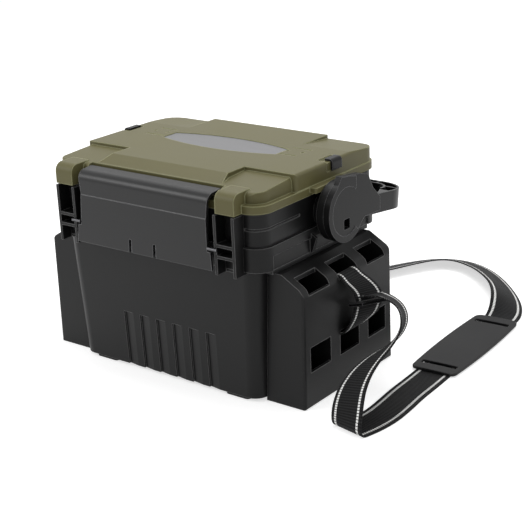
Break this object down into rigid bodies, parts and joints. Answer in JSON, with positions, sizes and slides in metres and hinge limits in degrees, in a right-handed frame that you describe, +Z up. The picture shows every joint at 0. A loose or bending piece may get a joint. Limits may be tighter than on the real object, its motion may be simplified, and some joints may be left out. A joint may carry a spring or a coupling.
{
  "type": "fishing seat box",
  "caption": "Seat box for anglers: a deep tub with rod pockets at its ends, a padded hinged lid, a wide front latch, a folding carrying handle and a webbing shoulder strap.",
  "frame": {"origin": "on the floor under the box, midway between the front latch and the folded handle's grip, and midway between the rod blocks", "axes": "+X along the front to the right, +Y to the back, +Z up"},
  "size_m": [0.656, 0.6457, 0.298],
  "materials": {
    "tub_black": "moulded, fine grain",
    "block_black": "moulded, fine grain",
    "handle_black": "moulded, satin",
    "axle_black": "moulded",
    "latch_black": "moulded, satin",
    "slider_black": "moulded",
    "lid_olive": "moulded, fine grain",
    "label_grey": "brushed plate",
    "steel": "drawn wire",
    "rubber": "matt",
    "seal_foam": "closed cell foam",
    "webbing": "woven webbing with two pale stripes",
    "pad_grey": "moulded soft pad"
  },
  "bodies": {
    "box": {"tub": "tub_black", "tub_band": "tub_black", "tub_neck": "tub_black", "right_corner_tower": "tub_black", "left_corner_tower": "tub_black", "right_rod_block": "block_black", "left_rod_block": "block_black", "right_block_screws": "steel", "left_block_screws": "steel", "front_left_foot": "rubber", "front_right_foot": "rubber", "rear_left_foot": "rubber", "rear_right_foot": "rubber", "right_catch_nub": "steel", "left_catch_nub": "steel", "front_catch_rod": "steel", "right_hinge_pin": "steel", "left_hinge_pin": "steel", "right_handle_boss": "tub_black", "left_handle_boss": "tub_black", "right_handle_axle": "axle_black", "left_handle_axle": "axle_black", "strap_webbing": "webbing", "right_strap_loop": "webbing", "left_strap_loop": "webbing", "right_slider": "slider_black", "left_slider": "slider_black", "shoulder_pad": "pad_grey"},
    "lid": {"lid": "lid_olive", "lid_seal": "seal_foam", "label_plate": "label_grey", "right_end_clip": "latch_black", "left_end_clip": "latch_black", "front_latch_rod": "steel"},
    "latch": {"front_latch": "latch_black"},
    "handle": {"handle_bail": "handle_black"}
  },
  "joints": [
    {"name": "lid_hinge", "type": "hinge", "parent": "box", "child": "lid", "pos_m": [0, 0.1302, 0.259], "axis": [-1, 0, 0], "range_deg": [0, 105]},
    {"name": "latch_hinge", "type": "hinge", "parent": "lid", "child": "latch", "pos_m": [0, -0.13, 0.281], "axis": [-1, 0, 0], "range_deg": [0, 85]},
    {"name": "handle_hinge", "type": "hinge", "parent": "box", "child": "handle", "pos_m": [0, 0.0002, 0.236], "axis": [1, 0, 0], "range_deg": [0, 97.4]}
  ]
}
